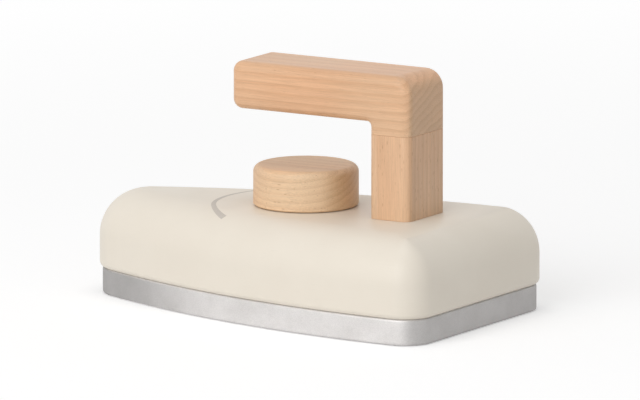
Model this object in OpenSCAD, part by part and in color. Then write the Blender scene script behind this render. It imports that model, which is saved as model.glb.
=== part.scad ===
// Toy iron: a painted wooden body glued on a silver lacquered sole, with a beech handle
// shaped like a letter L and a beech dial that turns under it. Lengths are in millimetres.
// The nose points to -X and the heel to +X. The sole's flat face lies on Z = 0, and the
// origin is below the middle of the overall box.

/* [Body] */
// Overall length from the nose to the heel
body_length = 150; // [130:1:190]
// Overall width at the heel
body_width = 90; // [78:1:110]
// Height of the painted body block on top of the sole
body_height = 27; // [24:0.5:40]
// Radius of the blunt nose, seen from above
nose_radius = 18; // [14:0.5:26]
// Radius of the two upright heel corners
heel_corner = 11; // [6:0.5:18]
// Rounding round the body's top edge
top_round = 16; // [8:0.5:17]
// Rounding round the body's bottom edge
bottom_round = 2; // [1:0.25:4]

/* [Sole] */
// Thickness of the sole plate
sole_thickness = 9; // [8:0.5:14]
// How far the sole stands back from the side of the body
sole_inset = 1; // [0.25:0.25:3]
// Rounding of the sole's upper and lower edges
sole_edge = 0.8; // [0.3:0.1:1.5]
// Diameter of the hidden dowels between the sole and the body
sole_dowel_d = 8; // [5:0.5:10]
// Length of those dowels, half of it in each piece
sole_dowel_l = 12; // [8:1:14]
// Distance from the nose to the front dowel
nose_dowel_setback = 27; // [22:1:34]
// Distance from the heel to the two rear dowels
heel_dowel_setback = 17; // [12:1:20]
// Distance between the two rear dowels
heel_dowel_spacing = 56; // [40:1:58]

/* [Handle] */
// Height of the handle above the body
handle_height = 49.5; // [42:0.5:60]
// Width of the handle, across the iron
handle_width = 25; // [20:0.5:30]
// Length of the grip from its front tip to the back of the post
grip_length = 70.5; // [58:0.5:80]
// Thickness of the grip
grip_height = 16.5; // [14:0.5:20]
// Thickness of the upright post, along the iron
post_depth = 16; // [12:0.5:20]
// Distance from the heel to the back of the post
handle_setback = 22.5; // [18:0.5:32]
// Rounding of the handle's long edges
handle_edge = 3; // [1:0.25:4]
// Radius of the outer corner over the post, seen from the side
elbow_radius = 6.5; // [3:0.5:9]
// Radius of the two corners at the grip's front tip, seen from the side
tip_radius = 3.5; // [2:0.5:6]
// How far below the grip the joint between the grip and the post lies
joint_drop = 4; // [2:0.5:8]

/* [Handle fixings] */
// Diameter of the two dowels in the joint between the grip and the post
grip_dowel_d = 6; // [4:0.5:7]
// Length of those dowels, half of it in each piece
grip_dowel_l = 24; // [16:1:26]
// Diameter of the two screws that come up through the body
handle_screw_d = 4; // [3:0.5:4.5]
// Wood left in the post between the tips of those screws and the ends of the dowels
fixing_gap = 3; // [2:0.5:5]
// Diameter of the head of those screws
handle_head_d = 8; // [6.5:0.5:9]
// Thickness of the head of those screws
handle_head_h = 2.6; // [2:0.1:3.2]
// Depth of the counterbores that the heads sit in
handle_counterbore = 8; // [5:0.5:12]

/* [Dial] */
// Diameter of the dial
dial_d = 36; // [30:1:42]
// Height of the dial
dial_height = 13.5; // [12:0.5:20]
// Distance from the heel to the dial's centre
dial_setback = 70.5; // [64:0.5:84]
// Rounding of the dial's top edge
dial_round = 2.5; // [1:0.25:4]
// Chamfer of the dial's bottom edge
dial_chamfer = 0.5; // [0.3:0.1:1.5]
// Diameter of the wooden axle glued into the dial
axle_d = 10; // [8:0.5:12]
// How deep the axle goes into the dial
axle_seat = 9; // [6:0.5:10]
// Diameter of the thin washer that the dial turns on
washer_d = 26; // [20:1:30]
// Thickness of that washer
washer_t = 0.4; // [0.3:0.1:1.5]

/* [Dial retainer] */
// Diameter of the pocket under the body that holds the retainer
pocket_d = 24; // [22:0.5:30]
// Depth of that pocket
pocket_depth = 9; // [8:0.5:12]
// Diameter of the washer that holds the axle in the body
retainer_d = 20; // [15:0.5:21]
// Thickness of that washer
retainer_t = 1.5; // [1:0.1:2.5]
// Diameter of the screw that holds it on the axle
retainer_screw_d = 3.5; // [3:0.5:4]
// How deep that screw goes into the axle
retainer_screw_bite = 13; // [8:1:16]
// Diameter of that screw's head
retainer_head_d = 7; // [6:0.5:8]
// Thickness of that screw's head
retainer_head_h = 2.2; // [1.6:0.1:2.8]

/* [Fits] */
// Radial clearance of the axle in the body
axle_clearance = 0.06; // [0.02:0.01:0.1]
// Play of the dial along its axis, above and below the body
dial_play = 0.2; // [0.1:0.05:0.4]
// Radial clearance of glued dowels and of screws in their holes
glue_clearance = 0.05; // [0.02:0.01:0.1]
// Room left past the end of a dowel or a screw
end_room = 0.5; // [0.2:0.1:1]
// Radial clearance of a screw in the piece that it passes through
pass_clearance = 0.25; // [0.1:0.05:0.5]
// Radial clearance of a screw head in its counterbore
head_clearance = 0.75; // [0.4:0.05:1]

/* [Hidden] */
$fn = 72;

// How far a cutting shape runs past the surface that it cuts
overrun = 1;
// Smallest corner that an inset outline keeps
least_corner = 0.3;
// Chamfer at the ends of the dowels and the axle
dowel_chamfer = 0.6;
// Steps of the stretches of an outline and of its rounded edges
corner_steps = 8;
side_steps = 10;
nose_steps = 24;
top_steps = 12;
bottom_steps = 4;
sole_steps = 2;
bend_steps = 6;
handle_steps = 5;
// A screw's taper and cross recess, as shares of its shank and its head
taper_share = 1.5;
point_share = 0.2;
recess_length_share = 0.56;
recess_width_share = 0.15;
recess_depth_share = 0.6;
// Distance between the handle's two dowels or screws, as a share of its width
fixing_share = 0.5;

// Levels, from the table up
sole_top = sole_thickness;
body_top = sole_top + body_height;
handle_top = body_top + handle_height;
grip_under = handle_top - grip_height;
joint_level = grip_under - joint_drop;
dial_bottom = body_top + washer_t + dial_play;
pocket_top = sole_top + pocket_depth;
retainer_top = pocket_top - dial_play;
retainer_bottom = retainer_top - retainer_t;
counterbore_top = sole_top + handle_counterbore;

// How deep the screws go into the post, up to the gap below the dowels
handle_screw_bite = joint_level - grip_dowel_l / 2 - fixing_gap - body_top;

// Places along the iron
heel_x = body_length / 2;
nose_x = nose_radius - heel_x;
post_back_x = heel_x - handle_setback;
post_front_x = post_back_x - post_depth;
post_x = post_back_x - post_depth / 2;
grip_tip_x = post_back_x - grip_length;
dial_x = heel_x - dial_setback;
fixing_y = handle_width * fixing_share / 2;

// The long side curve: an arc that touches the nose's arc and is widest at the heel corner
half_width = body_width / 2;
widest_x = heel_x - heel_corner;
side_radius = (pow(widest_x - nose_x, 2) + pow(half_width, 2) - pow(nose_radius, 2))
    / (2 * (half_width - nose_radius));
side_offset = side_radius - half_width;
touch_angle = atan2(side_offset, nose_x - widest_x);

// Roundings, held within the walls that carry them
body_top_round = min(top_round, nose_radius - least_corner, body_height - bottom_round - overrun);
grip_tip_round = min(tip_radius, grip_height / 2 - least_corner);

// Places of the dowels between the sole and the body
sole_dowel_places = [
    [nose_dowel_setback - heel_x, 0],
    [heel_x - heel_dowel_setback, heel_dowel_spacing / 2],
    [heel_x - heel_dowel_setback, -heel_dowel_spacing / 2]];

// Points along an arc, from the first angle up to the last one
function arc(centre, radius, first, last, steps, closed = false) =
    [for (i = [0 : steps - (closed ? 0 : 1)])
        let (angle = first + (last - first) * i / steps)
        centre + radius * [cos(angle), sin(angle)]];

// The iron's outline from above, moved in by the given distance, anticlockwise from the heel
function plan_outline(inset) =
    let (
        corner = max(heel_corner - inset, least_corner),
        side = side_radius - inset,
        nose = nose_radius - inset,
        corner_x = heel_x - inset - corner,
        corner_y = sqrt(pow(side - corner, 2) - pow(corner_x - widest_x, 2)) - side_offset,
        turn_angle = atan2(corner_y + side_offset, corner_x - widest_x))
    concat(
        arc([corner_x, corner_y], corner, 0, turn_angle, corner_steps),
        arc([widest_x, -side_offset], side, turn_angle, touch_angle, side_steps),
        arc([nose_x, 0], nose, touch_angle, 360 - touch_angle, nose_steps),
        arc([widest_x, side_offset], side, 360 - touch_angle, 360 - turn_angle, side_steps),
        arc([corner_x, -corner_y], corner, 360 - turn_angle, 360, corner_steps, closed = true));

// The grip's outline from the side, moved in by the given distance, except at its joint. It
// starts at the inner corner, from where every other point can be seen in a straight line.
function grip_outline(inset) =
    let (
        elbow = max(elbow_radius, inset + least_corner),
        tip = max(grip_tip_round, inset + least_corner))
    concat(
        [[post_front_x + inset, grip_under + inset],
            [post_front_x + inset, joint_level], [post_back_x - inset, joint_level]],
        arc([post_back_x - elbow, handle_top - elbow], elbow - inset, 0, 90, bend_steps, closed = true),
        arc([grip_tip_x + tip, handle_top - tip], tip - inset, 90, 180, bend_steps, closed = true),
        arc([grip_tip_x + tip, grip_under + tip], tip - inset, 180, 270, bend_steps, closed = true));

// Inset and height of each ring of a slab whose lower and upper edges are rounded
function slab_rings(low, high, low_round, high_round, low_steps, high_steps) = concat(
    [for (i = [0 : low_steps]) let (angle = 90 * i / low_steps)
        [low_round * (1 - sin(angle)), low + low_round * (1 - cos(angle))]],
    [for (i = [0 : high_steps]) let (angle = 90 * i / high_steps)
        [high_round * (1 - cos(angle)), high - high_round * (1 - sin(angle))]]);

// Faces of a closed skin over rings with the same number of points, the lowest ring first.
// The first point of a ring is where the flat end on it is split into triangles from.
function skin_faces(points, rings) = concat(
    [[for (i = [0 : points - 1]) i]],
    [for (ring = [0 : rings - 2], i = [0 : points - 1], half = [0, 1])
        let (low = ring * points, high = low + points, next = (i + 1) % points)
        half == 0 ? [low + i, high + i, high + next] : [low + i, high + next, low + next]],
    [[for (i = [points : -1 : 1]) (rings - 1) * points + i % points]]);

// A solid skinned over a list of rings of points
module skin(rings) {
    polyhedron(points = [for (ring = rings, point = ring) point],
        faces = skin_faces(len(rings[0]), len(rings)));
}

// A slab of the iron's outline with rounded edges
module plan_slab(low, high, stand_back, low_round, high_round, low_steps, high_steps) {
    skin([for (level = slab_rings(low, high, low_round, high_round, low_steps, high_steps))
        [for (point = plan_outline(stand_back + level[0])) [point[0], point[1], level[1]]]]);
}

// A wooden dowel with chamfered ends, standing on the origin
module dowel(diameter, length) {
    cylinder(d1 = diameter - 2 * dowel_chamfer, d2 = diameter, h = dowel_chamfer);
    translate([0, 0, dowel_chamfer])
        cylinder(d = diameter, h = length - 2 * dowel_chamfer);
    translate([0, 0, length - dowel_chamfer])
        cylinder(d1 = diameter, d2 = diameter - 2 * dowel_chamfer, h = dowel_chamfer);
}

// A wood screw with a domed head below the origin and its shank up to the given length
module wood_screw(shank_d, shank_l, head_d, head_h) {
    taper = shank_d * taper_share;
    dome = (pow(head_d / 2, 2) + pow(head_h, 2)) / (2 * head_h);
    difference() {
        union() {
            cylinder(d = shank_d, h = shank_l - taper);
            translate([0, 0, shank_l - taper])
                cylinder(d1 = shank_d, d2 = shank_d * point_share, h = taper);
            rotate_extrude() intersection() {
                translate([0, dome - head_h]) circle(r = dome);
                translate([0, -head_h]) square([head_d / 2, head_h]);
            }
        }
        for (turn = [0, 90])
            rotate([0, 0, turn])
                translate([-head_d * recess_length_share / 2, -head_d * recess_width_share / 2,
                    -head_h - overrun])
                    cube([head_d * recess_length_share, head_d * recess_width_share,
                        head_h * recess_depth_share + overrun]);
    }
}

// Blind holes for the dowels between the sole and the body, through the plane they meet in
module sole_dowel_holes() {
    depth = sole_dowel_l + 2 * end_room;
    for (place = sole_dowel_places)
        translate([place[0], place[1], sole_top - depth / 2])
            cylinder(d = sole_dowel_d + 2 * glue_clearance, h = depth);
}

// Repeats its children at the handle's two fixings
module at_fixings() {
    for (side = [-1, 1]) translate([post_x, side * fixing_y, 0]) children();
}

// Blind holes for the dowels in the handle's joint
module grip_dowel_holes() {
    depth = grip_dowel_l + 2 * end_room;
    at_fixings() translate([0, 0, joint_level - depth / 2])
        cylinder(d = grip_dowel_d + 2 * glue_clearance, h = depth);
}

// Flat wooden sole with eased edges, lacquered silver
module sole_plate() {
    color("#BDBBBA") difference() {
        plan_slab(0, sole_top, sole_inset, sole_edge, sole_edge, sole_steps, sole_steps);
        sole_dowel_holes();
    }
}

// Painted wooden block with a wide rounding round its top
module body_block() {
    color("#EAE2D6") difference() {
        plan_slab(sole_top, body_top, 0, bottom_round, body_top_round, bottom_steps, top_steps);
        sole_dowel_holes();
        translate([dial_x, 0, sole_top - overrun])
            cylinder(d = pocket_d, h = pocket_depth + overrun);
        translate([dial_x, 0, pocket_top - overrun])
            cylinder(d = axle_d + 2 * axle_clearance, h = body_top - pocket_top + 2 * overrun);
        at_fixings() {
            translate([0, 0, sole_top - overrun])
                cylinder(d = handle_head_d + 2 * head_clearance, h = handle_counterbore + overrun);
            translate([0, 0, counterbore_top - overrun])
                cylinder(d = handle_screw_d + 2 * pass_clearance,
                    h = body_top - counterbore_top + 2 * overrun);
        }
    }
}

// Three dowels that place the sole under the body and hold the glued joint
module sole_dowels() {
    color("#D8B183") for (place = sole_dowel_places)
        translate([place[0], place[1], sole_top - sole_dowel_l / 2])
            dowel(sole_dowel_d, sole_dowel_l);
}

// Upright beech post with rounded long edges, drilled from both ends
module handle_post() {
    color("#DDB285") difference() {
        translate([0, 0, body_top]) linear_extrude(joint_level - body_top) {
            translate([post_front_x + handle_edge, -handle_width / 2])
                square([post_depth - 2 * handle_edge, handle_width]);
            translate([post_front_x, handle_edge - handle_width / 2])
                square([post_depth, handle_width - 2 * handle_edge]);
            for (x = [post_front_x + handle_edge, post_back_x - handle_edge], side = [-1, 1])
                translate([x, side * (handle_width / 2 - handle_edge)]) circle(r = handle_edge);
        }
        grip_dowel_holes();
        at_fixings() translate([0, 0, body_top - overrun])
            cylinder(d = handle_screw_d + 2 * glue_clearance,
                h = handle_screw_bite + end_room + overrun);
    }
}

// Beech grip with its short foot over the post, all its long edges rounded
module handle_grip() {
    color("#E0B68A") difference() {
        rotate([90, 0, 0]) skin([for (level = slab_rings(-handle_width / 2, handle_width / 2,
                handle_edge, handle_edge, handle_steps, handle_steps))
            [for (point = grip_outline(level[0])) [point[0], point[1], level[1]]]]);
        grip_dowel_holes();
    }
}

// Two dowels glued across the joint between the grip and the post
module grip_dowels() {
    color("#D8B183") at_fixings() translate([0, 0, joint_level - grip_dowel_l / 2])
        dowel(grip_dowel_d, grip_dowel_l);
}

// Two screws up through the body into the post
module handle_screws() {
    color("#B9BBBE") at_fixings() translate([0, 0, counterbore_top])
        wood_screw(handle_screw_d, body_top - counterbore_top + handle_screw_bite,
            handle_head_d, handle_head_h);
}

// Turned beech dial with a rounded top edge and a blind hole for its axle
module dial_knob() {
    radius = dial_d / 2;
    color("#DCB188") translate([dial_x, 0, dial_bottom]) difference() {
        rotate_extrude() {
            polygon([[0, 0], [radius - dial_chamfer, 0], [radius, dial_chamfer],
                [radius, dial_height - dial_round], [0, dial_height - dial_round]]);
            translate([0, dial_height - dial_round]) square([radius - dial_round, dial_round]);
            translate([radius - dial_round, dial_height - dial_round]) intersection() {
                circle(r = dial_round);
                square([dial_round, dial_round]);
            }
        }
        translate([0, 0, -overrun])
            cylinder(d = axle_d + 2 * glue_clearance, h = axle_seat + end_room + overrun);
    }
}

// Beech axle glued into the dial, running in the body, with a hole for its screw
module dial_axle() {
    color("#D8B183") translate([dial_x, 0, retainer_top]) difference() {
        dowel(axle_d, dial_bottom + axle_seat - retainer_top);
        translate([0, 0, -overrun])
            cylinder(d = retainer_screw_d + 2 * glue_clearance,
                h = retainer_screw_bite + end_room + overrun);
    }
}

// Thin fibre washer on the body, which the dial turns on
module friction_washer() {
    color("#8C7B68") translate([dial_x, 0, body_top]) difference() {
        cylinder(d = washer_d, h = washer_t);
        translate([0, 0, -overrun])
            cylinder(d = axle_d + 2 * pass_clearance, h = washer_t + 2 * overrun);
    }
}

// Steel washer under the axle, wider than the hole that the axle runs in
module retaining_washer() {
    color("#B9BBBE") translate([dial_x, 0, retainer_bottom]) difference() {
        cylinder(d = retainer_d, h = retainer_t);
        translate([0, 0, -overrun])
            cylinder(d = retainer_screw_d + 2 * pass_clearance, h = retainer_t + 2 * overrun);
    }
}

// Screw that holds the steel washer on the end of the axle
module retaining_screw() {
    color("#B9BBBE") translate([dial_x, 0, retainer_bottom])
        wood_screw(retainer_screw_d, retainer_t + retainer_screw_bite,
            retainer_head_d, retainer_head_h);
}

sole_plate();
body_block();
sole_dowels();
handle_post();
handle_grip();
grip_dowels();
handle_screws();
dial_knob();
dial_axle();
friction_washer();
retaining_washer();
retaining_screw();
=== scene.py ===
"""Toy iron in painted and plain beech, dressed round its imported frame.

Lengths are in metres. The nose points to -X and the heel to +X, the sole stands on Z = 0, and
the origin lies below the middle of the iron.
"""

import logging
import math
from dataclasses import dataclass, field
from enum import Enum
from typing import Callable, Iterable, Sequence

import bmesh
import bpy
from mathutils import Matrix, Vector

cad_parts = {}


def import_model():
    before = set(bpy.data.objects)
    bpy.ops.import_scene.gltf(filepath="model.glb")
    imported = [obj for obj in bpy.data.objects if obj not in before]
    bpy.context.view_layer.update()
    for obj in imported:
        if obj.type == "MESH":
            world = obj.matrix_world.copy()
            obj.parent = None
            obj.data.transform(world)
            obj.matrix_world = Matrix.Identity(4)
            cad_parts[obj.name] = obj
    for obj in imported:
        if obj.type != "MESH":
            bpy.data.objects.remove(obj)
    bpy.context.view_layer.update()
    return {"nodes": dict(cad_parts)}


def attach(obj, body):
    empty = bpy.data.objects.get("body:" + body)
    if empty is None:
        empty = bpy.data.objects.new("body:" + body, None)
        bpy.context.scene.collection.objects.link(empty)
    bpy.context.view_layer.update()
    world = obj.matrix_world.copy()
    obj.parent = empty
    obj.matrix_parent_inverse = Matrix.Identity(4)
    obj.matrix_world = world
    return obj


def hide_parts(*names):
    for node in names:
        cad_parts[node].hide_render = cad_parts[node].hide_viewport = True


LOG = logging.getLogger("toy_iron")
MM = 0.001
HALF_TURN = math.pi
QUARTER_TURN = math.pi / 2
WELD = 1e-6
PAST = 1 * MM
BORE_STEPS = 48
CRISP_ANGLE = math.radians(34)

Pair = tuple[float, float]
Colour = tuple[float, float, float]
Mesh = bmesh.types.BMesh


class Body(Enum):
    """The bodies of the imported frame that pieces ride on."""

    IRON = "iron"
    DIAL = "dial"


class Slot(Enum):
    """The record's material slots of the pieces that are made here."""

    PAINT = "cream_paint"
    SILVER = "silver_lacquer"
    BEECH = "beech"


class Grain(Enum):
    """The way that the fibres of a piece of wood run, as the order of its axes."""

    ALONG_X = ("Y", "Z", "X")
    ALONG_Z = ("X", "Y", "Z")


# Node trees


class Recipe:
    """Builds the node tree of one material round a Principled shader."""

    def __init__(self, name: str) -> None:
        """Makes an empty material.

        Args:
            name: the material's name.
        """
        self.material = bpy.data.materials.new(name)
        self.material.use_nodes = True
        self.tree = self.material.node_tree
        self.tree.nodes.clear()
        self.shader = self.tree.nodes.new("ShaderNodeBsdfPrincipled")
        self.output = self.tree.nodes.new("ShaderNodeOutputMaterial")
        self.join(self.shader.outputs["BSDF"], self.output.inputs["Surface"])

    def join(self, source: bpy.types.NodeSocket, target: bpy.types.NodeSocket) -> None:
        """Links one socket to another."""
        self.tree.links.new(source, target)

    def feed(self, target: bpy.types.NodeSocket, value: object) -> None:
        """Gives a socket a link or a fixed value.

        Args:
            target: the input socket.
            value: a socket to link, or the value to set.
        """
        if isinstance(value, bpy.types.NodeSocket):
            self.join(value, target)
        elif value is not None:
            target.default_value = value

    def node(self, kind: str, inputs: dict[object, object], **settings: object) -> bpy.types.Node:
        """Adds a node.

        Args:
            kind: the node's type.
            inputs: sockets or values by the input's name or number.
            **settings: properties of the node.

        Returns:
            The node.
        """
        made = self.tree.nodes.new(kind)
        for name, value in settings.items():
            setattr(made, name, value)
        for name, value in inputs.items():
            self.feed(made.inputs[name], value)
        return made

    def math(self, operation: str, *values: object) -> bpy.types.NodeSocket:
        """Adds a sum on numbers and returns its result."""
        made = self.node("ShaderNodeMath", dict(enumerate(values)), operation=operation)
        return made.outputs[0]

    def vector(self, operation: str, *values: object) -> bpy.types.Node:
        """Adds a sum on vectors and returns its node."""
        return self.node("ShaderNodeVectorMath", dict(enumerate(values)), operation=operation)

    def span(self, value: object, low: float, high: float,
             start: float = 0.0, end: float = 1.0) -> bpy.types.NodeSocket:
        """Maps a number smoothly from one range to another.

        Args:
            value: the number.
            low: the value that gives start.
            high: the value that gives end.
            start: the result at low.
            end: the result at high.

        Returns:
            The mapped number.
        """
        made = self.node("ShaderNodeMapRange", {"Value": value, "From Min": low, "From Max": high,
                                                "To Min": start, "To Max": end},
                         interpolation_type="SMOOTHSTEP")
        return made.outputs["Result"]

    def blend(self, share: object, first: object, second: object) -> bpy.types.NodeSocket:
        """Mixes two colours by a share.

        Args:
            share: 0 for the first colour, 1 for the second.
            first: a colour or a socket.
            second: a colour or a socket.

        Returns:
            The mixed colour.
        """
        made = self.tree.nodes.new("ShaderNodeMix")
        made.data_type = "RGBA"
        self.feed(made.inputs[0], share)
        for slot, value in ((made.inputs[6], first), (made.inputs[7], second)):
            self.feed(slot, (*value, 1.0) if isinstance(value, tuple) else value)
        return made.outputs[2]

    def tinted(self, colour: object, brightness: object) -> bpy.types.NodeSocket:
        """Makes a colour lighter or darker by a factor."""
        made = self.node("ShaderNodeVectorMath", {0: colour, "Scale": brightness}, operation="SCALE")
        return made.outputs[0]

    def shaded(self, colour: object, value: object, low: float, high: float,
               start: float, end: float) -> bpy.types.NodeSocket:
        """Changes a colour's brightness from start to end while a value goes from low to high."""
        return self.tinted(colour, self.span(value, low, high, start, end))

    def number(self, colour: object) -> bpy.types.NodeSocket:
        """Returns the first channel of a colour."""
        return self.node("ShaderNodeSeparateXYZ", {0: colour}).outputs["X"]

    def places(self) -> bpy.types.NodeSocket:
        """Returns the surface's own coordinates in millimetres."""
        coords = self.node("ShaderNodeTexCoord", {}).outputs["Object"]
        return self.vector("MULTIPLY", coords, (1 / MM,) * 3).outputs[0]

    def noise(self, where: object, size: float, detail: float = 2.0, roughness: float = 0.5,
              stretch: tuple[float, float, float] = (1.0, 1.0, 1.0)) -> bpy.types.Node:
        """Adds a noise.

        Args:
            where: the coordinates, in millimetres.
            size: the size of its features, in millimetres.
            detail: how many finer layers it has.
            roughness: how strong the finer layers are.
            stretch: how much longer the features are along each axis.

        Returns:
            The noise node.
        """
        scaled = self.vector("MULTIPLY", where, tuple(1 / (size * s) for s in stretch)).outputs[0]
        return self.node("ShaderNodeTexNoise", {"Vector": scaled, "Scale": 1.0, "Detail": detail,
                                                "Roughness": roughness})

    def heading(self, axis: str) -> bpy.types.NodeSocket:
        """Returns how squarely the surface faces up one of its own axes, from -1 to 1."""
        normal = self.node("ShaderNodeTexCoord", {}).outputs["Normal"]
        return self.node("ShaderNodeSeparateXYZ", {0: normal}).outputs[axis]

    def facing(self, axis: str) -> bpy.types.NodeSocket:
        """Returns how squarely the surface faces along one of its own axes, from 0 to 1."""
        return self.math("ABSOLUTE", self.heading(axis))

    def relief(self, height: object, depth: float, strength: float = 1.0) -> None:
        """Gives the shader a fine relief.

        Args:
            height: the height, from 0 to 1.
            depth: what a height of 1 measures, in metres.
            strength: how much of it shows.
        """
        bump = self.node("ShaderNodeBump", {"Height": height, "Distance": depth, "Strength": strength})
        self.join(bump.outputs["Normal"], self.shader.inputs["Normal"])

    def surface(self, **values: object) -> None:
        """Sets inputs of the Principled shader, with _ for a space in their names."""
        for name, value in values.items():
            self.feed(self.shader.inputs[name.replace("_", " ")], value)


# Finishes


@dataclass(frozen=True)
class Beech:
    """Beech with soft growth rings, fine fibres and short ray flecks, under a matt lacquer or bare.

    Sizes in the grain are in millimetres. The end and rays tints are factors on the colour of faces that are
    cut across the fibres and along the rays; a rays tint below 1 is painted shade on them.
    """

    name: str
    grain: Grain = Grain.ALONG_X
    pith: Pair = (38.0, -52.0)
    early: Colour = (0.780, 0.486, 0.289)
    late: Colour = (0.678, 0.393, 0.219)
    ring_share: float = 0.55
    fleck: Colour = (0.43, 0.220, 0.112)
    fleck_share: float = 0.55
    fleck_width: float = 0.85
    fleck_length: float = 4.2
    redder: Colour = (1.0, 0.950, 0.930)
    yellower: Colour = (1.0, 1.030, 1.060)
    end: Colour = (0.82, 0.86, 0.87)
    # A rays tint below 1 paints shade on the faces cut along the rays.
    rays: float = 1.0
    ring: float = 2.7
    roughness: float = 0.36
    relief_depth: float = 0.035 * MM

    def make(self) -> bpy.types.Material:
        """Builds the material.

        Returns:
            The material.
        """
        mix = Recipe(self.name)
        across = self._grain_places(mix)
        sway = mix.noise(across, 26.0, stretch=(1.0, 1.0, 7.0)).outputs["Color"]
        swayed = mix.vector("MULTIPLY_ADD", sway, (5.0, 5.0, 0.0), across).outputs[0]
        rings, years = self._rings(mix, swayed)
        fibres = mix.noise(swayed, 0.34, detail=5.0, roughness=0.68, stretch=(1.0, 1.0, 42.0)).outputs["Fac"]
        pores = mix.noise(swayed, 0.15, roughness=0.6, stretch=(1.0, 1.0, 16.0)).outputs["Fac"]
        flecks = self._flecks(mix, across)
        patches = mix.noise(across, 16.0, detail=3.0, roughness=0.55, stretch=(1.0, 1.0, 4.0)).outputs["Fac"]

        colour = mix.blend(mix.math("MULTIPLY", rings, self.ring_share), self.early, self.late)
        for value, *limits in ((years, 0.0, 1.0, 0.965, 1.03), (patches, 0.3, 0.7, 0.955, 1.035),
                               (fibres, 0.28, 0.72, 0.90, 1.08), (pores, 0.58, 0.72, 1.0, 0.86)):
            colour = mix.shaded(colour, value, *limits)
        colour = mix.vector("MULTIPLY", colour, self._drift(mix, across)).outputs[0]
        colour = mix.blend(mix.math("MULTIPLY", flecks, self.fleck_share), colour, self.fleck)
        colour = self._cut_faces(mix, colour)
        rough = mix.span(fibres, 0.2, 0.8, self.roughness - 0.05, self.roughness + 0.07)
        mix.surface(Base_Color=colour, Roughness=rough, IOR=1.48, Specular_IOR_Level=0.42)
        height = mix.math("SUBTRACT", fibres, mix.math("MULTIPLY", flecks, 0.5))
        height = mix.math("SUBTRACT", height, mix.span(pores, 0.58, 0.75, 0.0, 0.8))
        mix.relief(height, self.relief_depth, 0.55)
        return mix.material

    def _grain_places(self, mix: Recipe) -> bpy.types.NodeSocket:
        """Turns the surface's own coordinates so that the third axis runs along the fibres.

        Args:
            mix: the material's recipe.

        Returns:
            The coordinates, in millimetres.
        """
        apart = mix.node("ShaderNodeSeparateXYZ", {0: mix.places()})
        made = mix.node("ShaderNodeCombineXYZ",
                        {i: apart.outputs[axis] for i, axis in enumerate(self.grain.value)})
        return made.outputs[0]

    def _rings(self, mix: Recipe, where: object) -> tuple[bpy.types.NodeSocket, bpy.types.NodeSocket]:
        """Makes the growth rings round the pith of the log.

        Args:
            mix: the material's recipe.
            where: the coordinates along the grain.

        Returns:
            How far each place is into a ring's dark end, and a number for each ring.
        """
        flat = mix.vector("MULTIPLY", where, (1.0, 1.0, 0.0)).outputs[0]
        away = mix.vector("DISTANCE", flat, (*self.pith, 0.0)).outputs["Value"]
        uneven = mix.noise(where, 9.0, stretch=(1.0, 1.0, 12.0)).outputs["Fac"]
        turn = mix.math("ADD", mix.math("DIVIDE", away, self.ring), mix.math("MULTIPLY", uneven, 0.9))
        share = mix.math("FRACT", turn)
        rise = mix.span(share, 0.25, 0.92)
        fall = mix.span(share, 0.93, 1.0, 1.0, 0.0)
        year = mix.node("ShaderNodeTexWhiteNoise", {"W": mix.math("FLOOR", turn)}, noise_dimensions="1D")
        return mix.math("MULTIPLY", rise, fall), year.outputs["Value"]

    def _drift(self, mix: Recipe, where: object) -> bpy.types.NodeSocket:
        """Makes the slow drift of the board's colour, from redder to yellower."""
        drift = mix.noise(where, 34.0, detail=1.0, roughness=0.4, stretch=(1.0, 1.0, 1.6)).outputs["Fac"]
        return mix.blend(mix.span(drift, 0.36, 0.64), self.redder, self.yellower)

    def _flecks(self, mix: Recipe, where: object) -> bpy.types.NodeSocket:
        """Makes the short dark ray flecks, 1 to 2 mm long, along the grain.

        Args:
            mix: the material's recipe.
            where: the coordinates along the grain.

        Returns:
            1 on a fleck and 0 beside it.
        """
        cell = (1 / self.fleck_width, 1 / self.fleck_width, 1 / self.fleck_length)
        scaled = mix.vector("MULTIPLY", where, cell).outputs[0]
        cells = mix.node("ShaderNodeTexVoronoi", {"Vector": scaled, "Scale": 1.0, "Randomness": 1.0})
        near = mix.span(cells.outputs["Distance"], 0.11, 0.22, 1.0, 0.0)
        return mix.math("MULTIPLY", near, mix.span(mix.number(cells.outputs["Color"]), 0.35, 0.75))

    def _cut_faces(self, mix: Recipe, colour: object) -> bpy.types.NodeSocket:
        """Tints the end grain and the faces that are cut along the rays, where a rays tint below 1 is
        painted shade.

        Args:
            mix: the material's recipe.
            colour: the colour of the wood.

        Returns:
            The tinted colour.
        """
        rays, end = mix.facing(self.grain.value[0]), mix.facing(self.grain.value[2])
        end_tint = mix.blend(mix.span(end, 0.70, 0.98), (1.0, 1.0, 1.0), self.end)
        tinted = mix.vector("MULTIPLY", colour, end_tint).outputs[0]
        return mix.shaded(tinted, rays, 0.70, 0.98, 1.0, self.rays)


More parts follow.
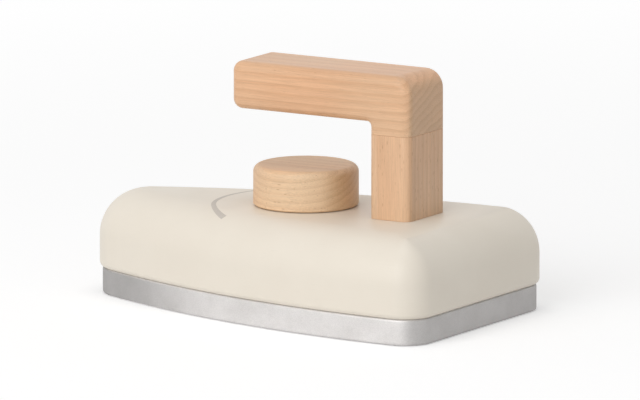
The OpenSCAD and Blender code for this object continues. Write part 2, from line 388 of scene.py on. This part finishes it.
@dataclass(frozen=True)
class SatinPaint:
    """Warm white satin paint on wood, with a faint orange peel and the grain just felt through it."""

    name: str = "cream satin paint"
    colour: Colour = (0.822, 0.757, 0.656)
    shade: Colour = (0.797, 0.729, 0.628)

    def make(self) -> bpy.types.Material:
        """Builds the material.

        Returns:
            The material.
        """
        mix = Recipe(self.name)
        where = mix.places()
        cloud = mix.noise(where, 22.0, detail=3.0, roughness=0.55).outputs["Fac"]
        peel = mix.noise(where, 0.85).outputs["Fac"]
        grain = mix.noise(where, 0.55, detail=3.0, roughness=0.6, stretch=(38.0, 1.0, 1.0)).outputs["Fac"]
        speck = mix.noise(where, 0.30, detail=1.0, roughness=0.4).outputs["Fac"]
        colour = mix.blend(mix.span(cloud, 0.35, 0.68, 0.0, 0.55), self.colour, self.shade)
        colour = mix.shaded(colour, grain, 0.58, 0.74, 1.0, 0.982)
        colour = mix.shaded(colour, speck, 0.72, 0.80, 1.0, 0.965)
        mix.surface(Base_Color=colour, Roughness=mix.span(cloud, 0.3, 0.7, 0.40, 0.47),
                    IOR=1.5, Specular_IOR_Level=0.45)
        height = mix.math("ADD", mix.math("MULTIPLY", peel, 0.55), mix.math("MULTIPLY", grain, 0.45))
        mix.relief(height, 0.03 * MM, 0.6)
        return mix.material


@dataclass(frozen=True)
class SilverLacquer:
    """Silver-grey lacquer with fine flakes on the wooden sole, with shade painted darker on its heel and
    nose.

    The painted heel and nose shade grows between two headings of the surface along X.
    """

    name: str = "silver lacquer"
    colour: Colour = (0.738, 0.717, 0.706)
    dull: Colour = (0.674, 0.653, 0.640)
    # heel and nose are factors of painted shade on the faces that turn towards the heel and the nose.
    heel: float = 0.74
    painted_heel_shade_headings: Pair = (0.30, 0.80)
    nose: float = 0.62
    painted_nose_shade_headings: Pair = (-0.24, -0.40)
    flake_size: float = 0.22

    def make(self) -> bpy.types.Material:
        """Builds the material.

        Returns:
            The material.
        """
        mix = Recipe(self.name)
        where = mix.places()
        cloud = mix.noise(where, 12.0, detail=3.0, roughness=0.6).outputs["Fac"]
        grain = mix.noise(where, 0.6, detail=3.0, roughness=0.6, stretch=(34.0, 1.0, 1.0)).outputs["Fac"]
        cells = mix.node("ShaderNodeTexVoronoi",
                         {"Vector": where, "Scale": 1 / self.flake_size, "Randomness": 1.0})
        flake = mix.number(cells.outputs["Color"])
        along = mix.heading("X")
        colour = mix.blend(mix.span(cloud, 0.35, 0.7), self.colour, self.dull)
        colour = mix.shaded(colour, flake, 0.0, 1.0, 0.94, 1.05)
        # Painted shade: darker on the faces that turn towards the heel and the nose.
        colour = mix.shaded(colour, along, *self.painted_heel_shade_headings, 1.0, self.heel)
        colour = mix.shaded(colour, along, *self.painted_nose_shade_headings, 1.0, self.nose)
        mix.surface(Base_Color=colour, Metallic=0.45, IOR=1.5, Specular_IOR_Level=0.25,
                    Specular_Tint=(0.55, 0.55, 0.56, 1.0), Roughness=mix.span(flake, 0.0, 1.0, 0.42, 0.54))
        height = mix.math("ADD", mix.math("MULTIPLY", grain, 0.7), mix.math("MULTIPLY", flake, 0.3))
        mix.relief(height, 0.02 * MM, 0.5)
        return mix.material


@dataclass(frozen=True)
class ScalePrint:
    """Warm grey ink of the scale round the dial, printed on the paint."""

    name: str = "scale print"
    colour: Colour = (0.560, 0.510, 0.455)
    thin: Colour = (0.620, 0.568, 0.510)

    def make(self) -> bpy.types.Material:
        """Builds the material.

        Returns:
            The material.
        """
        mix = Recipe(self.name)
        where = mix.places()
        cover = mix.noise(where, 0.5, detail=3.0, roughness=0.6).outputs["Fac"]
        colour = mix.blend(mix.span(cover, 0.4, 0.7), self.colour, self.thin)
        rough = mix.span(cover, 0.3, 0.7, 0.45, 0.55)
        mix.surface(Base_Color=colour, Roughness=rough, Specular_IOR_Level=0.4)
        mix.relief(cover, 0.01 * MM, 0.4)
        return mix.material


@dataclass(frozen=True)
class ZincSteel:
    """Bright zinc plating with the faint rings that turning leaves."""

    name: str = "zinc plated steel"
    colour: Colour = (0.640, 0.650, 0.672)
    stain: Colour = (0.520, 0.525, 0.530)

    def make(self) -> bpy.types.Material:
        """Builds the material.

        Returns:
            The material.
        """
        mix = Recipe(self.name)
        where = mix.places()
        cloud = mix.noise(where, 2.4, detail=4.0, roughness=0.6).outputs["Fac"]
        lines = mix.noise(where, 0.12, stretch=(9.0, 9.0, 1.0)).outputs["Fac"]
        colour = mix.blend(mix.span(cloud, 0.4, 0.7), self.colour, self.stain)
        mix.surface(Base_Color=colour, Metallic=1.0, Roughness=mix.span(lines, 0.3, 0.7, 0.24, 0.38))
        mix.relief(lines, 0.01 * MM, 0.5)
        return mix.material


@dataclass(frozen=True)
class FibreSheet:
    """Brown pressed fibre, cut into the thin washer that the dial turns on."""

    name: str = "pressed fibre"
    colour: Colour = (0.200, 0.140, 0.095)
    light: Colour = (0.300, 0.222, 0.160)

    def make(self) -> bpy.types.Material:
        """Builds the material.

        Returns:
            The material.
        """
        mix = Recipe(self.name)
        where = mix.places()
        threads = mix.noise(where, 0.3, detail=4.0, roughness=0.7, stretch=(3.0, 1.0, 1.0)).outputs["Fac"]
        colour = mix.blend(mix.span(threads, 0.35, 0.65), self.colour, self.light)
        mix.surface(Base_Color=colour, Roughness=mix.span(threads, 0.3, 0.7, 0.72, 0.88))
        mix.relief(threads, 0.05 * MM, 0.8)
        return mix.material


# Mesh helpers


def new_piece(name: str, mesh: Mesh, material: bpy.types.Material, body: Body,
              replaces: Sequence[str] = ()) -> bpy.types.Object:
    """Turns a bmesh into a piece that rides on a body.

    Args:
        name: the piece's name.
        mesh: its shape, which is freed here.
        material: its finish.
        body: the body that it rides on.
        replaces: the CAD nodes that it stands for.

    Returns:
        The piece.
    """
    bmesh.ops.remove_doubles(mesh, verts=mesh.verts, dist=WELD)
    bmesh.ops.recalc_face_normals(mesh, faces=mesh.faces)
    for face in mesh.faces:
        face.smooth = True
    for edge in mesh.edges:
        edge.smooth = len(edge.link_faces) == 2 and edge.calc_face_angle(0.0) < CRISP_ANGLE
    data = bpy.data.meshes.new(name)
    mesh.to_mesh(data)
    mesh.free()
    data.materials.append(material)
    piece = bpy.data.objects.new(name, data)
    bpy.context.scene.collection.objects.link(piece)
    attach(piece, body.value)
    if replaces:
        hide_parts(*replaces)
    LOG.info("%s: %d faces, rides on %s", name, len(data.polygons), body.value)
    return piece


def turned(profile: Iterable[Pair], centre: Pair, steps: int) -> Mesh:
    """Turns a profile into a closed round solid, as on a lathe.

    Args:
        profile: radius and height of its points, from the axis and back to it.
        centre: the axis' place on X and Y.
        steps: the faces round it.

    Returns:
        The solid.
    """
    mesh = bmesh.new()
    corners = [mesh.verts.new((centre[0] + radius, centre[1], height)) for radius, height in profile]
    edges = [mesh.edges.new(pair) for pair in zip(corners, corners[1:])]
    bmesh.ops.spin(mesh, geom=corners + edges, cent=(*centre, 0), axis=(0, 0, 1), angle=2 * HALF_TURN,
                   steps=steps, use_merge=True)
    bmesh.ops.remove_doubles(mesh, verts=mesh.verts, dist=WELD)
    bmesh.ops.recalc_face_normals(mesh, faces=mesh.faces)
    return mesh


def bore(centre: Pair, *steps: tuple[float, float, float]) -> Mesh:
    """Makes the cutter of a stepped hole.

    Args:
        centre: the hole's place on X and Y.
        *steps: each step's diameter, bottom and top, from the lowest up.

    Returns:
        The cutter.
    """
    profile = [(0.0, steps[0][1])]
    for diameter, low, high in steps:
        profile += [(diameter / 2, low), (diameter / 2, high)]
    profile.append((0.0, steps[-1][2]))
    return turned(profile, centre, BORE_STEPS)


def drilled(mesh: Mesh, cutters: Sequence[Mesh]) -> Mesh:
    """Cuts holes in a solid.

    Args:
        mesh: the solid, which is freed here.
        cutters: the holes, which are freed here.

    Returns:
        The drilled solid.
    """
    blank = _scratch(mesh)
    tools = [_scratch(cutter) for cutter in cutters]
    for tool in tools:
        cut = blank.modifiers.new("bore", "BOOLEAN")
        cut.operation = "DIFFERENCE"
        cut.solver = "EXACT"
        cut.object = tool
    bpy.context.view_layer.update()
    result = bmesh.new()
    result.from_object(blank, bpy.context.evaluated_depsgraph_get())
    for scratch in [blank, *tools]:
        data = scratch.data
        bpy.data.objects.remove(scratch)
        bpy.data.meshes.remove(data)
    return result


def _scratch(mesh: Mesh) -> bpy.types.Object:
    """Puts a bmesh in the scene for a moment.

    Args:
        mesh: the bmesh, which is freed here.

    Returns:
        The object that holds it.
    """
    data = bpy.data.meshes.new("scratch")
    mesh.to_mesh(data)
    mesh.free()
    holder = bpy.data.objects.new("scratch", data)
    bpy.context.scene.collection.objects.link(holder)
    return holder


def rounded(radius: float, low_angle: float, high_angle: float, steps: int) -> list[Pair]:
    """Points of a rounding, as offsets from its centre, from one angle to another."""
    turns = (low_angle + (high_angle - low_angle) * i / steps for i in range(steps + 1))
    return [(radius * math.cos(turn), radius * math.sin(turn)) for turn in turns]


# Body and sole


@dataclass(frozen=True)
class IronPlan:
    """The iron's outline from above: a blunt nose, two long curves and a straight heel."""

    length: float = 150 * MM
    width: float = 90 * MM
    nose_radius: float = 18 * MM
    heel_corner: float = 11 * MM
    corner_steps: int = 12
    side_steps: int = 44
    nose_steps: int = 48

    @property
    def heel_x(self) -> float:
        """Where the heel is."""
        return self.length / 2

    @property
    def nose_x(self) -> float:
        """Where the centre of the nose's arc is."""
        return self.nose_radius - self.heel_x

    @property
    def widest_x(self) -> float:
        """Where the iron is widest, which is also the centre of the side's arc."""
        return self.heel_x - self.heel_corner

    @property
    def side_radius(self) -> float:
        """Radius of the long side's arc."""
        reach, half = self.widest_x - self.nose_x, self.width / 2
        return (reach ** 2 + half ** 2 - self.nose_radius ** 2) / (2 * (half - self.nose_radius))

    @property
    def side_offset(self) -> float:
        """How far the centre of the side's arc is beyond the middle line."""
        return self.side_radius - self.width / 2

    def points(self, inset: float) -> list[Pair]:
        """The outline moved in by a distance, anticlockwise from the heel.

        Args:
            inset: the distance.

        Returns:
            Its points, as many at every distance.
        """
        corner = max(self.heel_corner - inset, 0.0)
        side = self.side_radius - inset
        corner_x = self.heel_x - inset - corner
        corner_y = math.sqrt((side - corner) ** 2 - (corner_x - self.widest_x) ** 2) - self.side_offset
        turn = math.atan2(corner_y + self.side_offset, corner_x - self.widest_x)
        touch = math.atan2(self.side_offset, self.nose_x - self.widest_x)
        arcs = (
            (corner_x, corner_y, corner, 0.0, turn, self.corner_steps),
            (self.widest_x, -self.side_offset, side, turn, touch, self.side_steps),
            (self.nose_x, 0.0, self.nose_radius - inset, touch, 2 * HALF_TURN - touch, self.nose_steps),
            (self.widest_x, self.side_offset, side, -touch, -turn, self.side_steps),
            (corner_x, -corner_y, corner, -turn, 0.0, self.corner_steps),
        )
        found = []
        for x, y, radius, first, last, steps in arcs:
            for i in range(steps):
                angle = first + (last - first) * i / steps
                found.append((x + radius * math.cos(angle), y + radius * math.sin(angle)))
        found.append((corner_x + corner, -corner_y))
        return found

    def inset_at(self, x: float, y: float) -> float:
        """How far a place is inside the long side's arc."""
        return self.side_radius - math.hypot(x - self.widest_x, abs(y) + self.side_offset)


@dataclass(frozen=True)
class Slab:
    """A slab of the iron's outline with rounded lower and upper edges."""

    plan: IronPlan
    low: float
    high: float
    stand_back: float
    low_round: float
    high_round: float
    low_steps: int
    high_steps: int
    hold: float = 0.4 * MM

    def rings(self) -> list[Pair]:
        """Works out the rings that the slab is raised by, from below.

        Returns:
            How far the outline is moved in at each ring, and its height.
        """
        low = [(self.low_round - dx, self.low + self.low_round + dz)
               for dx, dz in rounded(self.low_round, -QUARTER_TURN, 0.0, self.low_steps)]
        high = [(self.high_round - dx, self.high - self.high_round + dz)
                for dx, dz in rounded(self.high_round, 0.0, QUARTER_TURN, self.high_steps)]
        rings = [(low[0][0] + self.hold, low[0][1]), *low, (0.0, low[-1][1] + self.hold),
                 (0.0, high[0][1] - self.hold), *high, (high[-1][0] + self.hold, high[-1][1])]
        return [(self.stand_back + inset, height) for inset, height in rings]

    def make(self) -> Mesh:
        """Raises the slab ring by ring from its underside.

        Returns:
            The closed slab.
        """
        mesh = bmesh.new()
        place = mesh.verts.layers.int.new("place")
        rings = self.rings()
        corners = len(self.plan.points(rings[0][0]))
        bmesh.ops.create_circle(mesh, cap_ends=True, segments=corners, radius=self.plan.width)
        for number, corner in enumerate(mesh.verts):
            corner[place] = number
        face = next(iter(mesh.faces))
        for level, (inset, height) in enumerate(rings):
            if level:
                raised = bmesh.ops.extrude_face_region(mesh, geom=[face])["geom"]
                if level > 1:
                    bmesh.ops.delete(mesh, geom=[face], context="FACES_ONLY")
                face = next(item for item in raised if isinstance(item, bmesh.types.BMFace))
            outline = self.plan.points(inset)
            for corner in face.verts:
                corner.co = (*outline[corner[place]], height)
        bmesh.ops.remove_doubles(mesh, verts=mesh.verts, dist=WELD)
        bmesh.ops.recalc_face_normals(mesh, faces=mesh.faces)
        return mesh


@dataclass
class Hull:
    """The sole and the painted body on it, with the holes for what joins them."""

    plan: IronPlan = field(default_factory=IronPlan)
    sole_thickness: float = 9 * MM
    sole_inset: float = 1 * MM
    sole_edge: float = 0.8 * MM
    body_height: float = 27 * MM
    top_round: float = 16 * MM
    bottom_round: float = 2 * MM
    dowel_hole: float = 8.1 * MM
    dowel_depth: float = 6.5 * MM
    dowel_places: tuple[Pair, ...] = (
        (-48 * MM, 0.0), (58 * MM, 28 * MM), (58 * MM, -28 * MM))
    pocket: float = 24 * MM
    pocket_depth: float = 9 * MM
    axle_hole: float = 10.12 * MM
    counterbore: float = 9.5 * MM
    counterbore_depth: float = 8 * MM
    screw_hole: float = 4.5 * MM

    @property
    def top(self) -> float:
        """Height of the body's flat top."""
        return self.sole_thickness + self.body_height

    def build(self, dial_x: float, screw_places: Sequence[Pair]) -> None:
        """Builds both pieces.

        Args:
            dial_x: where the dial's axle comes through the body.
            screw_places: where the handle's screws come through it.
        """
        seam = self.sole_thickness
        sole = Slab(self.plan, 0.0, seam, stand_back=self.sole_inset, low_round=self.sole_edge,
                    high_round=self.sole_edge, low_steps=4, high_steps=4, hold=0.2 * MM).make()
        holes = [bore(at, (self.dowel_hole, seam - self.dowel_depth, seam + PAST))
                 for at in self.dowel_places]
        new_piece("sole", drilled(sole, holes), SilverLacquer().make(), Body.IRON,
                  ["sole_plate"])

        body = Slab(self.plan, seam, self.top, stand_back=0.0, low_round=self.bottom_round,
                    high_round=self.top_round, low_steps=8, high_steps=20).make()
        holes = [bore(at, (self.dowel_hole, seam - PAST, seam + self.dowel_depth))
                 for at in self.dowel_places]
        pocket_top = seam + self.pocket_depth
        holes.append(bore((dial_x, 0.0), (self.pocket, seam - PAST, pocket_top),
                          (self.axle_hole, pocket_top, self.top + PAST)))
        head_top = seam + self.counterbore_depth
        holes += [bore(at, (self.counterbore, seam - PAST, head_top),
                       (self.screw_hole, head_top, self.top + PAST)) for at in screw_places]
        new_piece("body", drilled(body, holes), SatinPaint().make(), Body.IRON,
                  ["body_block"])

    def surface_height(self, x: float, y: float) -> float:
        """Height of the body's top at a place, on its flat or on the rounding of its long sides.

        Args:
            x: the place along the iron.
            y: the place across it.

        Returns:
            The height.
        """
        inset = self.plan.inset_at(x, y)
        if inset >= self.top_round:
            return self.top
        lean = 1 - inset / self.top_round
        return self.top - self.top_round * (1 - math.sqrt(max(1 - lean ** 2, 0.0)))


# Handle


@dataclass
class Handle:
    """The L-shaped handle, a grip with a short foot, doweled on an upright post."""

    foot_level: float = 36 * MM
    top_level: float = 85.5 * MM
    joint_level: float = 65 * MM
    grip_height: float = 16.5 * MM
    width: float = 25 * MM
    tip_x: float = -18 * MM
    post_front_x: float = 36.5 * MM
    post_back_x: float = 52.5 * MM
    long_edge: float = 3 * MM
    elbow: float = 6.5 * MM
    tip_round: float = 3.5 * MM
    crook: float = 1.6 * MM
    joint_ease: float = 0.18 * MM
    dowel_hole: float = 6.1 * MM
    dowel_depth: float = 12.5 * MM
    screw_hole: float = 4.1 * MM
    screw_depth: float = 14.5 * MM
    fixing_y: float = 6.25 * MM
    round_steps: int = 10
    ease_steps: int = 3
    hold: float = 0.35 * MM
    flat_area: float = 40 * MM * MM

    @property
    def fixing_places(self) -> list[Pair]:
        """Where the dowels and the screws stand."""
        middle = (self.post_front_x + self.post_back_x) / 2
        return [(middle, -self.fixing_y), (middle, self.fixing_y)]

    def build(self) -> None:
        """Builds the post and the grip."""
        post = self._cut(self._blank(), self.foot_level, self.joint_level)
        holes = [bore(at, (self.screw_hole, self.foot_level - PAST, self.foot_level + self.screw_depth))
                 for at in self.fixing_places]
        holes += [bore(at, (self.dowel_hole, self.joint_level - self.dowel_depth, self.joint_level + PAST))
                  for at in self.fixing_places]
        # The post's rays tint of 0.87 is painted shade: it darkens the post's front and rear faces.
        upright = Beech("beech post", Grain.ALONG_Z, pith=(61.0, -96.0), early=(0.771, 0.512, 0.319),
                        late=(0.673, 0.416, 0.244), rays=0.87)
        new_piece("post", drilled(post, holes), upright.make(), Body.IRON, ["handle_post"])

        grip = self._cut(self._blank(), self.joint_level, None)
        holes = [bore(at, (self.dowel_hole, self.joint_level - PAST, self.joint_level + self.dowel_depth))
                 for at in self.fixing_places]
        lengthwise = Beech("beech grip", Grain.ALONG_X, pith=(34.0, 10.0))
        new_piece("grip", drilled(grip, holes), lengthwise.make(), Body.IRON, ["handle_grip"])

    def _blank(self) -> Mesh:
        """Makes the whole handle from its side outline, with every edge rounded.

        Returns:
            The handle, whose foot is still too long.
        """
        low = self.foot_level - 2 * self.long_edge
        under = self.top_level - self.grip_height
        side = self.width / 2
        outline = ((self.post_front_x, low), (self.post_back_x, low), (self.post_back_x, self.top_level),
                   (self.tip_x, self.top_level), (self.tip_x, under), (self.post_front_x, under))
        mesh = bmesh.new()
        face = mesh.faces.new([mesh.verts.new((x, -side, z)) for x, z in outline])
        moved = bmesh.ops.extrude_face_region(mesh, geom=[face])["geom"]
        bmesh.ops.translate(mesh, vec=(0.0, self.width, 0.0),
                            verts=[item for item in moved if isinstance(item, bmesh.types.BMVert)])
        bmesh.ops.recalc_face_normals(mesh, faces=mesh.faces)
        rounds = ((self.post_back_x, self.top_level, self.elbow),
                  (self.tip_x, self.top_level, self.tip_round), (self.tip_x, under, self.tip_round),
                  (self.post_front_x, under, self.crook))
        for x, z, radius in rounds:
            self._round(mesh, radius, lambda at, x=x, z=z: math.hypot(at.x - x, at.z - z) < WELD)
        self._round(mesh, self.long_edge, lambda at: abs(abs(at.y) - side) < WELD and at.z > low + WELD)
        return mesh

    def _round(self, mesh: Mesh, radius: float, chosen: Callable[[Vector], bool]) -> None:
        """Rounds the edges whose middle is chosen.

        Args:
            mesh: the solid.
            radius: the radius of the rounding.
            chosen: says whether a point is the middle of such an edge.
        """
        edges = [edge for edge in mesh.edges if chosen((edge.verts[0].co + edge.verts[1].co) / 2)]
        bmesh.ops.bevel(mesh, geom=edges, offset=radius, offset_type="OFFSET", segments=self.round_steps,
                        profile=0.5, affect="EDGES", clamp_overlap=False, material=-1, loop_slide=True)

    def _cut(self, mesh: Mesh, low: float, high: float | None) -> Mesh:
        """Saws a length out of the blank and eases the sawn edges.

        Args:
            mesh: the blank.
            low: the height of the lower cut.
            high: the height of the upper cut, or None for none.

        Returns:
            The sawn piece.
        """
        for level, upward in ((low, -1.0), (high, 1.0)):
            if level is None:
                continue
            geometry = [*mesh.verts, *mesh.edges, *mesh.faces]
            bmesh.ops.bisect_plane(mesh, geom=geometry, dist=WELD, plane_co=(0.0, 0.0, level),
                                   plane_no=(0.0, 0.0, upward), clear_outer=True)
            rim = [edge for edge in mesh.edges if edge.is_boundary]
            bmesh.ops.holes_fill(mesh, edges=rim, sides=0)
            bmesh.ops.recalc_face_normals(mesh, faces=mesh.faces)
            rim = [edge for edge in mesh.edges if all(abs(end.co.z - level) < WELD for end in edge.verts)]
            bmesh.ops.bevel(mesh, geom=rim, offset=self.joint_ease, offset_type="OFFSET",
                            segments=self.ease_steps, profile=0.5, affect="EDGES", clamp_overlap=False,
                            material=-1)
        flats = [face for face in mesh.faces if face.calc_area() > self.flat_area]
        bmesh.ops.inset_individual(mesh, faces=flats, thickness=self.hold, use_even_offset=True)
        return mesh


# Dial


@dataclass
class Dial:
    """The turned beech dial on its axle."""

    centre_x: float = 4.5 * MM
    low: float = 36.6 * MM
    height: float = 13.5 * MM
    radius: float = 18 * MM
    top_round: float = 2.5 * MM
    chamfer: float = 0.5 * MM
    axle_hole: float = 10.1 * MM
    hole_depth: float = 9.5 * MM
    washer_room: float = 28 * MM
    rim_drop: float = 0.35 * MM
    hold: float = 0.3 * MM
    round_steps: int = 10
    turn_steps: int = 128

    def build(self) -> None:
        """Builds the knob."""
        beech = Beech("beech dial", Grain.ALONG_X, pith=(-21.0, 96.0), early=(0.827, 0.586, 0.372),
                      late=(0.728, 0.485, 0.289), end=(0.92, 0.88, 0.81), ring=2.3, roughness=0.46)
        knob = turned(self._profile(), (self.centre_x, 0.0), self.turn_steps)
        new_piece("knob", knob, beech.make(), Body.DIAL, ["dial_knob"])

    def _profile(self) -> list[Pair]:
        """The knob's outline from the top of its hole, under it and round to the middle of its top.

        The underside has a shallow seat for the washer, and the rim round it runs just off the paint.

        Returns:
            Radius and height of its points.
        """
        low, high = self.low, self.low + self.height
        foot = low - self.rim_drop
        hole, seat = self.axle_hole / 2, self.washer_room / 2
        rim = self.radius - self.top_round
        curve = [(rim + dx, high - self.top_round + dz)
                 for dx, dz in rounded(self.top_round, 0.0, QUARTER_TURN, self.round_steps)]
        return [(0.0, low + self.hole_depth), (hole, low + self.hole_depth), (hole, low), (seat, low),
                (seat, foot), (self.radius - self.chamfer, foot), (self.radius, foot + self.chamfer),
                (self.radius, foot + self.chamfer + self.hold), (self.radius, curve[0][1] - self.hold),
                *curve, (rim - self.hold, high), (0.0, high)]


@dataclass
class DialScale:
    """The scale printed on the body before the dial, an arc that grows wider from low heat to high."""

    centre_x: float
    height_at: Callable[[float, float], float]
    outer: float = 32.3 * MM
    thin: float = 0.4 * MM
    thick: float = 2.0 * MM
    first: float = math.radians(122)
    last: float = math.radians(238)
    steps: int = 64
    rows: int = 4
    proud: float = 0.03 * MM
    sunk: float = 0.05 * MM

    def build(self) -> None:
        """Builds the arc as one printed layer."""
        new_piece("dial_scale", self._laid(self._arc()), ScalePrint().make(), Body.IRON)

    def _arc(self) -> Mesh:
        """Sweeps the arc flat at its full width and narrows it towards its first end.

        Returns:
            The flat print, centred on the origin.
        """
        mesh = bmesh.new()
        start = Matrix.Rotation(self.first, 4, "Z")
        ends = [mesh.verts.new(start @ Vector((self.outer - self.thick * i / self.rows, 0, 0)))
                for i in range(self.rows + 1)]
        edges = [mesh.edges.new(pair) for pair in zip(ends, ends[1:])]
        bmesh.ops.spin(mesh, geom=ends + edges, cent=(0, 0, 0), axis=(0, 0, 1), angle=self.last - self.first,
                       steps=self.steps)
        for corner in mesh.verts:
            turn = math.atan2(corner.co.y, corner.co.x) % (2 * HALF_TURN)
            share = (turn - self.first) / (self.last - self.first)
            width = self.thin + (self.thick - self.thin) * share
            corner.co.length = self.outer - (self.outer - corner.co.length) * width / self.thick
        return mesh

    def _laid(self, mesh: Mesh) -> Mesh:
        """Lays a flat print on the body's top and gives it its thickness.

        Args:
            mesh: the flat print, centred on the origin.

        Returns:
            The closed layer of ink.
        """
        bmesh.ops.recalc_face_normals(mesh, faces=mesh.faces)
        if sum(face.normal.z for face in mesh.faces) < 0:
            bmesh.ops.reverse_faces(mesh, faces=mesh.faces)
        made = bmesh.ops.extrude_face_region(mesh, geom=list(mesh.faces))["geom"]
        upper = {item for item in made if isinstance(item, bmesh.types.BMVert)}
        for corner in mesh.verts:
            x, y = corner.co.x + self.centre_x, corner.co.y
            shift = self.proud if corner in upper else -self.sunk
            corner.co = (x, y, self.height_at(x, y) + shift)
        return mesh


# Inner pieces


@dataclass(frozen=True)
class InnerPieces:
    """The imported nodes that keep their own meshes: dowels, axle, washers and screws."""

    rods: tuple[str, ...] = ("sole_dowels", "grip_dowels", "dial_axle")
    steel: tuple[str, ...] = ("handle_screws", "retaining_washer", "retaining_screw")
    fibre: tuple[str, ...] = ("friction_washer",)

    def dress(self, nodes: dict[str, bpy.types.Object]) -> None:
        """Gives each node its finish.

        Args:
            nodes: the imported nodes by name.
        """
        rod = Beech("beech dowel rod", Grain.ALONG_Z, pith=(12.0, 31.0), early=(0.730, 0.468, 0.292),
                    roughness=0.62)
        finishes = ((self.rods, rod), (self.steel, ZincSteel()), (self.fibre, FibreSheet()))
        for names, finish in finishes:
            material = finish.make()
            for name in names:
                node = nodes[name]
                node.data.materials.clear()
                node.data.materials.append(material)
                LOG.info("%s: %s", name, finish.name)


# Studio


def towards(azimuth: float, elevation: float) -> Vector:
    """The direction from the origin at an azimuth from -Y towards +X, and an elevation."""
    flat = math.cos(elevation)
    return Vector((math.sin(azimuth) * flat, -math.cos(azimuth) * flat, math.sin(elevation)))


@dataclass(frozen=True)
class SoftLamp:
    """A large round lamp, placed by an azimuth from -Y towards +X and an elevation."""

    name: str
    azimuth: float
    elevation: float
    level: float
    distance: float
    size: float

    def build(self) -> None:
        """Hangs the lamp, aimed at the origin."""
        lamp = bpy.data.lights.new(self.name, "AREA")
        lamp.shape = "DISK"
        lamp.size = self.size
        lamp.energy = self.level * math.pi ** 2 * (self.distance ** 2 + (self.size / 2) ** 2)
        direction = towards(self.azimuth, self.elevation)
        holder = bpy.data.objects.new(self.name, lamp)
        holder.location = direction * self.distance
        holder.rotation_euler = direction.to_track_quat("Z", "Y").to_euler()
        bpy.context.scene.collection.objects.link(holder)


@dataclass(frozen=True)
class Studio:
    """A pale floor, a white surround, two large soft lamps and the camera."""

    view_azimuth: float = math.radians(31.0)
    view_elevation: float = math.radians(10.2)
    camera_distance: float = 5.45
    lens: float = 899.0
    sensor: float = 36.0
    aim_right: float = 8.6 * MM
    aim_up: float = 36.5 * MM
    lamps: tuple[SoftLamp, ...] = (
        SoftLamp("front lamp", math.radians(-4.0), math.radians(27.0), level=0.386, distance=3.6, size=3.4),
        SoftLamp("top lamp", 0.0, math.radians(88.0), level=0.145, distance=2.4, size=1.8),
    )
    surround_level: float = 0.495
    floor_size: float = 16.0
    floor_drop: float = 0.15 * MM
    floor_colour: Colour = (0.90, 0.90, 0.90)
    near_lift: float = 0.25
    far_lift: float = 0.42
    near_reach: float = 0.20
    far_reach: float = 1.20

    def build(self) -> None:
        """Builds the studio."""
        self._floor()
        self._surround()
        for lamp in self.lamps:
            lamp.build()
        self._camera()
        scene = bpy.context.scene
        scene.view_settings.view_transform = "Standard"

    @staticmethod
    def _seen(tree: bpy.types.NodeTree) -> bpy.types.NodeSocket:
        """Tells camera, glossy and transmission rays from the rest.

        Args:
            tree: the node tree that the test is added to.

        Returns:
            1 for those rays and 0 for the rest.
        """
        path = tree.nodes.new("ShaderNodeLightPath")
        share = path.outputs["Is Camera Ray"]
        for name in ("Is Glossy Ray", "Is Transmission Ray"):
            most = tree.nodes.new("ShaderNodeMath")
            most.operation = "MAXIMUM"
            tree.links.new(share, most.inputs[0])
            tree.links.new(path.outputs[name], most.inputs[1])
            share = most.outputs[0]
        return share

    def _floor(self) -> None:
        """Lays the floor, lifted to white where it is seen, with the iron's shadow kept."""
        mesh = bmesh.new()
        bmesh.ops.create_grid(mesh, x_segments=1, y_segments=1, size=self.floor_size / 2,
                              matrix=Matrix.Translation((0.0, 0.0, -self.floor_drop)))
        data = bpy.data.meshes.new("floor")
        mesh.to_mesh(data)
        mesh.free()
        floor = bpy.data.objects.new("floor", data)
        bpy.context.scene.collection.objects.link(floor)
        mix = Recipe("pale floor")
        mix.surface(Base_Color=(*self.floor_colour, 1.0), Roughness=0.9, Specular_IOR_Level=0.0)
        away = mix.vector("LENGTH", mix.places()).outputs["Value"]
        lift = mix.span(away, self.near_reach / MM, self.far_reach / MM, self.near_lift, self.far_lift)
        level = mix.math("MULTIPLY", self._seen(mix.tree), lift)
        mix.surface(Emission_Color=(1.0, 1.0, 1.0, 1.0), Emission_Strength=level)
        data.materials.append(mix.material)

    def _surround(self) -> None:
        """Sets the even white surround, dimmer for the light that it gives than where it is seen."""
        world = bpy.data.worlds.new("surround")
        bpy.context.scene.world = world
        world.use_nodes = True
        tree = world.node_tree
        ground = tree.nodes["Background"]
        ground.inputs["Color"].default_value = (1.0, 1.0, 1.0, 1.0)
        level = tree.nodes.new("ShaderNodeMapRange")
        level.inputs["To Min"].default_value = self.surround_level
        level.inputs["To Max"].default_value = 1.0
        tree.links.new(self._seen(tree), level.inputs["Value"])
        tree.links.new(level.outputs["Result"], ground.inputs["Strength"])

    def _camera(self) -> None:
        """Sets the camera at the photograph's angle."""
        back = towards(self.view_azimuth, self.view_elevation)
        right = Vector((math.cos(self.view_azimuth), math.sin(self.view_azimuth), 0.0))
        aim = right * self.aim_right + back.cross(right) * self.aim_up
        view = bpy.data.cameras.new("camera")
        view.lens = self.lens
        view.sensor_width = self.sensor
        view.clip_end = 3 * self.floor_size
        holder = bpy.data.objects.new("camera", view)
        holder.location = aim + back * self.camera_distance
        holder.rotation_euler = back.to_track_quat("Z", "Y").to_euler()
        bpy.context.scene.collection.objects.link(holder)
        bpy.context.scene.camera = holder


def main() -> None:
    """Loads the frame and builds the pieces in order."""
    logging.basicConfig(level=logging.INFO, format="%(message)s")
    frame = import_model()
    studio, hull, handle, dial = Studio(), Hull(), Handle(), Dial()
    studio.build()
    hull.build(dial.centre_x, handle.fixing_places)
    handle.build()
    dial.build()
    DialScale(dial.centre_x, hull.surface_height).build()
    InnerPieces().dress(frame["nodes"])


if __name__ == "__main__":
    main()
